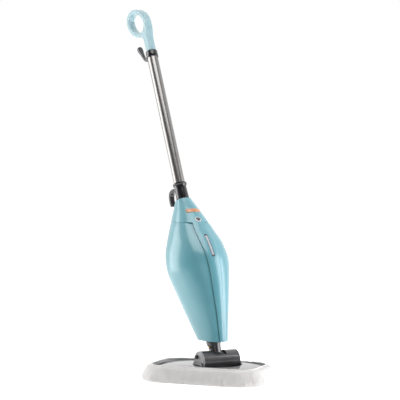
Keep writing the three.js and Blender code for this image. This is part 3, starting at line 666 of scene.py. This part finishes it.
def front_patch(name, half_width, bottom, top, proud, deep, corner):
    """A rounded patch along the front skin: its middle stands at proud, and its rim falls towards deep."""
    columns, rows = 36, 36

    def point(i, j):
        across, up = 2 * i / (columns - 1) - 1, 2 * j / (rows - 1) - 1
        half_height = (top - bottom) / 2
        x, s = half_width * across, half_height * up
        over = (max(abs(x) - (half_width - corner), 0), max(abs(s) - (half_height - corner), 0))
        reach = math.hypot(*over)
        if reach > corner:
            x -= math.copysign(over[0] * (1 - corner / reach), x)
            s -= math.copysign(over[1] * (1 - corner / reach), s)
        height = (top + bottom) / 2 + s
        edge = min(1.0, 2.2 * (1 - max(abs(across), abs(up))) + 0.25)
        lift = deep + (proud - deep) * math.sin(edge * math.pi / 2)
        return body_point(math.asin(x / along(BODY_STATIONS, height)[0]), height, -lift)

    obj = face_outward(add_grid(name, point, columns, rows, MOP), BODY_CENTRE)
    modify(obj, "SOLIDIFY", thickness=1.0 * MM, offset=-1)
    settle(obj)
    return soften_edges(obj, 0.25, 2, 50)


def add_front_details():
    lens = front_patch("window_lens", WINDOW_HALF - 1.5, WINDOW_BOTTOM + 5, WINDOW_TOP - 5,
                       -0.4, -0.4, 2.9)
    dress(lens, "handle_unit", "window_plastic", "water_window")
    bed = front_patch("window_frame", WINDOW_HALF - 0.2, WINDOW_BOTTOM + 0.2, WINDOW_TOP - 0.2,
                      -1.0, -1.0, 4.3)
    dress(bed, "handle_unit", "joint_plastic")
    badge = front_patch("badge", 21, 421, 434, 1.5, 0.3, 3)
    dress(badge, "handle_unit", "badge_plastic", "front_badge")
    at_button = MOP @ on_skin(0, BUTTON_AT)
    rim = rounded_ring(-4, 1.6, BUTTON_RADIUS + 0.5, BUTTON_RADIUS + 2)
    bezel = turned("button_ring", rim, at_button, 64)
    dress(soften_edges(bezel, 0.5), "handle_unit", "white_plastic", "button_bezel")
    profile = [(0, -6), (BUTTON_RADIUS, -6), (BUTTON_RADIUS, 1.4), (4.8, 2.2), (3, 1.9), (0, 1.6)]
    cap = turned("button_cap", profile, at_button, 64)
    dress(soften_edges(cap, 0.4), "power_button", "joint_plastic", "power_button")


def add_rear_details():
    at_filler = MOP @ on_skin(math.pi, FILLER_AT)
    lid_profile = [(0, -8), (12.6, -8), (12.6, 0.6), (20.8, 0.6), (21, 1.6), (19.6, 3.4), (17, 3.8),
                   (15.4, 3.3), (0, 3.1)]
    lid = turned("filler_lid", lid_profile, at_filler, 96)
    tab_points = [(x, y, z) for z in (0.6, 3.8) for x, y in ((-6, -25.5), (6, -25.5), (7, -17), (-7, -17))]
    tab_faces = [(0, 1, 2, 3), (7, 6, 5, 4), (0, 4, 5, 1), (1, 5, 6, 2), (2, 6, 7, 3), (3, 7, 4, 0)]
    tab = add_mesh("lid_tab", tab_points, tab_faces, at_filler)
    grip_points = [(x, y, z) for z in (2.8, 5.2) for x, y in ((-9, 10.5), (9, 10.5), (8, 13.5), (-8, 13.5))]
    grip = add_mesh("lid_grip", grip_points, tab_faces, at_filler)
    cap = soften_edges(merged("filler_lid_cap", lid, tab, grip), 0.6)
    dress(cap, "filler_cap", "body_plastic", "filler_cap")
    rings = [(3.6, 44), (9.5, 44), (9.5, 48), (7.4, 48.6)]
    for k in range(5):
        at = 51 + 3 * k
        crest, groove = 7.2 - 0.25 * k, 5.9 - 0.2 * k
        rings += [(crest, at), (crest, at + 1.4), (groove, at + 1.7), (groove, at + 2.7)]
    rings += [(5.6, 66), (3.6, 66)]
    gland = turned("gland", rings, MOP @ Matrix.Translation((0, 0, GLAND_AT)) @ TO_REAR, 64)
    dress(soften_edges(gland, 0.3, 2), "handle_unit", "hose_rubber", "cord_gland")


# ---- Tube, collar, hooks, handle ----
def add_tube():
    wall = rounded_ring(TUBE_BOTTOM, TUBE_TOP, TUBE_RADIUS - 1, TUBE_RADIUS)
    tube = turned("tube", wall, MOP, 128)
    dress(soften_edges(tube, 0.3, 2), "handle_unit", "tube_steel", "steel_tube")
    bore = TUBE_RADIUS + 0.3
    flare = [(bore, 482.4), (18.6, 482.4), (18.5, 490), (18.1, 500), (17.6, 512), (17.3, 519),
             (17.6, 523), (18.8, 525.4), (20.4, 526.6), (20.4, 530.6), (19.4, 531.7), (bore, 532)]
    collar = turned("tube_collar", flare, MOP, 128)
    dress(soften_edges(collar, 0.5), "handle_unit", "black_plastic", "collar")
    at_hook = MOP @ Matrix.Translation((0, 0, HOOK_AT)) @ TO_REAR
    band = [(bore, 945), (17.4, 945), (17.8, 946), (17.8, 961), (17.4, 963), (17.8, 964),
            (17.8, 965), (17.2, 965.8), (bore, 965.8)]
    ring = turned("ferrule_ring", band, MOP, 96)
    boss = turned("ferrule_boss", rounded_ring(16.4, 21.5, 3.3, 7), at_hook, 48)
    dress(soften_edges(merged("ferrule_band", ring, boss), 0.4), "handle_unit", "black_plastic", "ferrule")
    screw = [(0, 16.6), (3, 16.6), (3, 21.8), (6, 22), (6, 23.4), (4.6, 24), (1.6, 24), (1.2, 23.1),
             (0, 23.1)]
    pin = turned("hook_screw", screw, at_hook, 48)
    dress(soften_edges(pin, 0.25, 2), "handle_unit", "fastener_steel", "hook_pin")


def add_lower_hook():
    steps = 14
    outline = [*bezier((19.4, 511), (30, 520), (40, 523), (50, 523), steps),
               *bezier((50, 523), (60, 523), (61.5, 516), (62, 506), steps),
               *bezier((62, 494), (62.2, 491), (64, 489.5), (66.5, 489.5), 6),
               *bezier((66.5, 489.5), (69.4, 489.6), (71, 491.5), (71, 494), 6),
               *bezier((71, 494), (72.5, 512), (71, 533), (52, 534), steps),
               *bezier((52, 534), (38, 534), (28, 531), (19.4, 524), steps)]
    hook = sideways("cord_hook_low", outline, 7, MOP)
    tidy_normals(hook, 1e-4)
    dress(soften_edges(hook, 2.4, 5, 50), "handle_unit", "black_plastic", "lower_cord_hook")


def add_upper_hook():
    hub = turned("hub", [(0, 24.4), (7.4, 24.4), (8, 25.2), (8, 31.6), (7, 33), (0, 33)],
                 MOP @ Matrix.Translation((0, 0, HOOK_AT)) @ TO_REAR, 48)
    spine = [(0, 29, 0, 5), (0, 35, 1, 5.3), (0, 42, 5, 5.4), (0, 49, 13, 5.4), (0, 55, 25, 5.8),
             (0, 60, 37, 6.8), (0, 63.6, 45, 8.4), (0, 66.6, 53, 9), (0, 68.2, 59.5, 7.6),
             (0, 69, 63.6, 3.5)]
    path = [(x, y, s + HOOK_AT, radius) for x, y, s, radius in catmull(spine, 6)]
    obj = blended(merged("cord_hook_top", hub, swept("arm", path, MOP)), 0.9, 4)
    dress(obj, "upper_cord_hook", "black_plastic", "upper_cord_hook")


def add_handle():
    """Loop strap and stem melted into one moulding, then split into its two halves."""
    turns, corner, arc = 144, 4.0, 5
    around = 4 * (arc + 1)
    cos_tilt, sin_tilt = math.cos(LOOP_TILT), math.sin(LOOP_TILT)

    def on_loop(radii, angle):
        y, s = radii[0] * math.cos(angle), radii[1] * math.sin(angle)
        return Vector((0, LOOP_CENTRE[0] + y * cos_tilt - s * sin_tilt,
                       LOOP_CENTRE[1] + y * sin_tilt + s * cos_tilt))

    def section_point(depth, number):
        """Inwards and across, on a rounded rectangle with arc + 1 points at each corner."""
        quarter, step = divmod(number % around, arc + 1)
        inwards = corner if quarter in (1, 2) else depth - corner
        across = HANDLE_HALF - corner if quarter < 2 else corner - HANDLE_HALF
        angle = math.radians(90 * quarter + 90 * step / arc)
        return inwards + corner * math.cos(angle), across + corner * math.sin(angle)

    def point(i, j):
        angle = 2 * math.pi * i / turns
        outer, inner = on_loop(LOOP_OUTER, angle), on_loop(LOOP_INNER, angle)
        inward = (inner - outer).normalized()
        depth, across = section_point((inner - outer).length, j)
        return outer + inward * depth + Vector((across, 0, 0))

    strap = add_grid("strap", point, turns, around + 1, MOP, closed=True)
    front = [(-HANDLE_HALF, HANDLE_BASE), (-HANDLE_HALF, 1004),
             *bezier((-HANDLE_HALF, 1004), (-13, 1022), (-22, 1028), (-20, 1052), 14)]
    rear = [*bezier((-4, 1052), (0, 1040), (16, 1038), (30, 1042), 14),
            *bezier((30, 1042), (14, 1028), (12, 1016), (HANDLE_HALF, 1000), 14), (HANDLE_HALF, HANDLE_BASE)]
    stem = sideways("stem", [*front, *rear], HANDLE_HALF, MOP)
    tidy_normals(stem, 1e-4)
    settle(soften_edges(stem, 3.2, 4, 55))
    whole = blended(merged("handle_whole", strap, stem), 1.0, 10)
    halves = ((-1, "handle_half_left", "handle_left"), (1, "handle_half_right", "handle_right"))
    for side, name, node in halves:
        work = bmesh.new()
        work.from_mesh(whole.data)
        cut_at = MOP @ Vector((side * 0.15, 0, HANDLE_BASE))
        everything = [*work.verts, *work.edges, *work.faces]
        made = bmesh.ops.bisect_plane(work, geom=everything, plane_co=cut_at, plane_no=(-side, 0, 0),
                                      clear_outer=True)
        rim = [edge for edge in made["geom_cut"] if isinstance(edge, bmesh.types.BMEdge)]
        bmesh.ops.triangle_fill(work, edges=rim, use_beauty=True)
        mesh = bpy.data.meshes.new(name)
        work.to_mesh(mesh)
        work.free()
        obj = add_object(name, mesh)
        dress(soften_edges(obj, 0.5, 2, 60), "handle_unit", "handle_plastic", node)
    bpy.data.objects.remove(whole)


# ---- Joint and neck ----
def add_joint():
    barrel = refined("barrel_housing", "barrel", 0.8)
    dress(barrel, "swivel_joint", "joint_plastic", "barrel_housing")
    dress(refined("joint_saddle", "saddle", 0.8), "swivel_joint", "joint_plastic", "joint_saddle")
    inner = BARREL_HALF - CAP_THICKNESS
    face = [(BARREL_RADIUS, inner), (BARREL_RADIUS, BARREL_HALF - 1.4), (BARREL_RADIUS - 1.4, BARREL_HALF),
            (BARREL_RADIUS - 4, BARREL_HALF), (BARREL_RADIUS - 4.6, BARREL_HALF - 0.7),
            (0, BARREL_HALF - 0.7)]
    right = turned("cap_right", [(0, inner), *face], JOINT @ ALONG_X, 96)
    dress(soften_edges(right, 0.4), "swivel_joint", "joint_plastic", "end_cap_right")
    left = turned("cap_left", [(0, inner), *face], JOINT @ Matrix.Rotation(math.pi, 4, "Z") @ ALONG_X, 96)
    knob_axis = JOINT @ Matrix.Translation((-BARREL_HALF, 9, 12)) @ ALONG_X
    socket = turned("socket", [(0, -3), (5.6, -3), (5.6, 4), (0, 4)], knob_axis, 48)
    carve(left, socket)
    # The left cap's lighter grey is a painted highlight; the right cap of the same moulding stays dark grey.
    dress(soften_edges(left, 0.4), "swivel_joint", "joint_plastic", "end_cap_left",
          material=LIT_CAP_PAINTED_MATERIAL)
    low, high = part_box("lock_button")
    start, end = ((corner.x - PIVOT.x) / MM + BARREL_HALF for corner in (low, high))
    profile = [(0, end), (5, end), (5, start + 2.6), (4.4, start + 0.8), (3, start), (1.6, start + 0.5),
               (0, start + 0.6)]
    knob = turned("lock_knob", profile, knob_axis, 48)
    dress(soften_edges(knob, 0.35), "lock_button", "black_plastic", "lock_button")
    dress(refined("neck", "neck_stem", 0.8), "handle_unit", "joint_plastic", "neck")
    dress(refined("pivot_spool", "spool", 0.5), "handle_unit", "joint_plastic", "pivot_spool")
    dress(refined("neck_screw", "neck_boss_screw", 0.3), "handle_unit", "screw_brass", "neck_screw")
    dress(refined("bottom_cover", "body_base", 0.4), "handle_unit", "body_plastic", "bottom_cover")


# ---- Head ----
def outline_reach(centre, away, half_length, half_width, corner):
    """How far a rounded rectangle lies from a point inside it, in a direction."""
    low, high = 0.0, 2.0 * half_length
    for _ in range(30):
        middle = (low + high) / 2
        spot = (centre[0] + away[0] * middle, centre[1] + away[1] * middle)
        over = (max(abs(spot[0]) - half_length + corner, 0), max(abs(spot[1]) - half_width + corner, 0))
        inside = math.hypot(*over) < corner
        low, high = (middle, high) if inside else (low, middle)
    return low


def add_cover():
    columns, wall = 180, 3
    fall = catmull([(1, 15.3), (1, 22), (0.99, 28), (0.94, 33.6), (0.85, 36.4), (0.75, 38.3), (0.4, 41.6),
                    (0.1, 43.2), (0, DOME_TOP)], 4)
    section = [(share, 0, height) for share, height in fall]
    section += [(0, 0, 20), (0, -wall, 20), (0, -wall, DOME_TOP - wall)]
    underside = ((0.4, 41.6), (0.75, 38.3), (0.94, 33.6))
    section += [(share, wall * share, height - wall) for share, height in underside]
    section += [(1, wall, 15.3), (1, 0, 15.3)]
    centre = (TURRET_X - PLATE_SHIFT, 0)

    def point(i, j):
        share, inward, height = section[j]
        away = (math.cos(2 * math.pi * i / columns), math.sin(2 * math.pi * i / columns))
        reach = outline_reach(centre, away, PLATE_HALF_LENGTH - 1, PLATE_HALF_WIDTH - 1, PLATE_CORNER)
        out = WELL_RADIUS + share * (reach - WELL_RADIUS) - inward
        return (centre[0] + away[0] * out + PLATE_SHIFT, centre[1] + away[1] * out, height)

    cover = add_grid("cover", point, columns, len(section), HEAD, closed=True)
    dress(soften_edges(cover, 0.7, 3, 45), "head", "cover_plastic", "head_cover")


def pad_outline(inset, turn):
    """A point at a share of the way round the pad's outline, inset from it, and its outward direction."""
    straight_x, straight_y = 2 * (PAD_HALF_LENGTH - PAD_CORNER), 2 * (PAD_HALF_WIDTH - PAD_CORNER)
    arc = math.pi / 2 * PAD_CORNER
    total = 2 * (straight_x + straight_y) + 4 * arc
    at = (turn % 1) * total
    sides = [(straight_y, (1, 0)), (straight_x, (0, 1)), (straight_y, (-1, 0)), (straight_x, (0, -1))]
    centres = [(1, 1), (-1, 1), (-1, -1), (1, -1)]
    for k, (length, normal) in enumerate(sides):
        mid = Vector((normal[0] * PAD_HALF_LENGTH, normal[1] * PAD_HALF_WIDTH))
        tangent = Vector((-normal[1], normal[0]))
        if at <= length:
            out = Vector(normal)
            return mid + tangent * (at - length / 2) - out * inset, out
        at -= length
        if at <= arc:
            begin = math.atan2(normal[1], normal[0])
            angle = begin + at / PAD_CORNER
            out = Vector((math.cos(angle), math.sin(angle)))
            core = Vector((centres[k][0] * straight_x / 2, centres[k][1] * straight_y / 2))
            return core + out * (PAD_CORNER - inset), out
        at -= arc
    return Vector((PAD_HALF_LENGTH - inset, 0)), Vector((1, 0))


HEM_INSET, HEM_HEIGHT = 20.0, 42.0
CLOTH_FRAMES, CLOTH_REACH = 12, 3.5


def add_pad():
    """Bonnet: one slack cloth round the plate, with an elastic hem along its mouth."""
    columns = 220
    # Inset from the outline and height, from the mouth over the wall and under the sole.
    profile = catmull([(23.5, 34), (22.5, 38), (HEM_INSET, HEM_HEIGHT), (15, PAD_HEIGHT), (9, 42.2),
                       (3.5, 38), (-0.5, 31), (-3.5, 23), (-5.5, 15), (-5.4, 8), (-2.5, 2.8), (4, 0.6),
                       (14, 0.15)], 3)
    profile += [(34, 0.1), (66, 0.1)]
    rows = len(profile)

    def point(i, j):
        inset, height = profile[j]
        spot, out = pad_outline(min(inset, PAD_CORNER - 2), i / columns)
        wobble = noise.noise(Vector((spot.x / 26, spot.y / 26, height / 16)))
        ripple = noise.noise(Vector((spot.x / 9, spot.y / 9, height / 40 + 7)))
        free = max(0.0, min(1.0, (height - 1) / 10)) * (1 if inset < 18 else 0.25)
        push = free * (2.4 * wobble + 1.0 * ripple)
        return (spot.x + out.x * push, spot.y + out.y * push, height)

    bonnet = add_grid("pad_bonnet", point, columns, rows, HEAD, closed=True)
    face_outward(bonnet, Vector((0, 0, 0.02)))
    simulate_bonnet(bonnet)
    work = bmesh.new()
    work.from_mesh(bonnet.data)
    lowest = [edge for edge in work.edges if edge.is_boundary and all(v.co.z < 5 * MM for v in edge.verts)]
    bmesh.ops.contextual_create(work, geom=lowest)
    bmesh.ops.recalc_face_normals(work, faces=work.faces)
    for face in work.faces:
        face.smooth = True
    work.to_mesh(bonnet.data)
    work.free()
    modify(bonnet, "SOLIDIFY", thickness=4.5 * MM, offset=-1)
    modify(bonnet, "SUBSURF", levels=1, render_levels=1)
    settle(bonnet)
    spots = []
    for vertex in bonnet.data.vertices:
        spot = vertex.co + vertex.normal * (0.45 * MM * noise.noise(vertex.co * 170))
        spots += [spot.x, spot.y, max(spot.z, 0)]
    set_vertices(bonnet, spots)
    dress(bonnet, "head", "pad_fabric", "microfibre_pad")
    add_hem()


def simulate_bonnet(bonnet):
    """Lets the slack cloth buckle between its pinned hem and sole, and caps how far it goes."""
    pins = bonnet.vertex_groups.new(name="pins")
    for vertex in bonnet.data.vertices:
        local = HEAD.inverted() @ vertex.co
        flat = vertex.co.z < 1.2 * MM
        at_hem = vertex.co.z > 32 * MM and inset_of(local) > HEM_INSET - 2.5
        if flat or at_hem:
            pins.add([vertex.index], 1.0, "REPLACE")
    before = [vertex.co.copy() for vertex in bonnet.data.vertices]
    cloth = modify(bonnet, "CLOTH")
    settings = cloth.settings
    settings.quality = 3
    settings.mass = 0.25
    settings.tension_stiffness = settings.compression_stiffness = 18
    settings.shear_stiffness = 8
    settings.bending_stiffness = 0.6
    settings.air_damping = 3
    settings.shrink_min = settings.shrink_max = -0.08
    settings.vertex_group_mass = "pins"
    settings.use_pressure = True
    settings.uniform_pressure_force = 1.2
    settings.effector_weights.gravity = 0.6
    cloth.collision_settings.use_collision = False
    cloth.collision_settings.use_self_collision = False
    cloth.point_cache.frame_start = 1
    cloth.point_cache.frame_end = CLOTH_FRAMES
    for number in range(1, CLOTH_FRAMES + 1):
        scene.frame_set(number)
    settle(bonnet)
    scene.frame_set(1)
    spots = []
    for vertex, start in zip(bonnet.data.vertices, before):
        move = vertex.co - start
        spot = start + move * min(1, CLOTH_REACH * MM / max(move.length, 1e-9))
        spots += [spot.x, spot.y, min(max(spot.z, 0.1 * MM), (PAD_HEIGHT + 2) * MM)]
    set_vertices(bonnet, spots)


def inset_of(local):
    """Roughly how far inside the pad's outline a point lies, in millimetres."""
    over = (max(abs(local.x) - PAD_HALF_LENGTH + PAD_CORNER, 0),
            max(abs(local.y) - PAD_HALF_WIDTH + PAD_CORNER, 0))
    if over[0] > 0 and over[1] > 0:
        return PAD_CORNER - math.hypot(*over)
    return min(PAD_HALF_LENGTH - abs(local.x), PAD_HALF_WIDTH - abs(local.y))


def add_hem():
    """The elastic binding along the mouth: a soft roll with small gathers."""
    steps = 520
    path = []
    for k in range(steps):
        spot, out = pad_outline(HEM_INSET + 1.4, k / steps)
        lump = noise.noise(Vector((spot.x / 12, spot.y / 12, 3)))
        gather = 0.5 * math.sin(2 * math.pi * k / 5.2) + 0.9 * lump
        path.append((spot.x + out.x * 0.4 * gather, spot.y + out.y * 0.4 * gather,
                     HEM_HEIGHT - 0.6 + 0.5 * gather, 2.5 + 0.3 * gather))
    hem = swept("pad_hem", path, HEAD, 12, closed=True)
    dress(hem, "head", "pad_fabric", material=HEM_MATERIAL)


def add_floor():
    reach, squares, drop = 14, 8, 0.0004

    def point(i, j):
        return (reach * (2 * i / squares - 1), reach * (2 * j / squares - 1), -drop)

    floor = add_grid("floor", point, squares + 1, squares + 1, Matrix.Identity(4))
    floor.data.materials.append(FLOOR_MATERIAL)


def paint_cad():
    """Every CAD node that stays gets its slot's material."""
    slots = {part["node"]: part["material_slot"] for part in frame["record"]["subparts"]}
    for name, node in frame["nodes"].items():
        node.data.materials.clear()
        node.data.materials.append(MATERIALS[slots[name]])


add_camera()
add_studio()
paint_cad()
add_cover()
add_pad()
add_joint()
side_panel(-1)
side_panel(1)
front_shell()
rear_panel()
add_front_details()
add_rear_details()
add_tube()
add_lower_hook()
add_upper_hook()
add_handle()
add_floor()
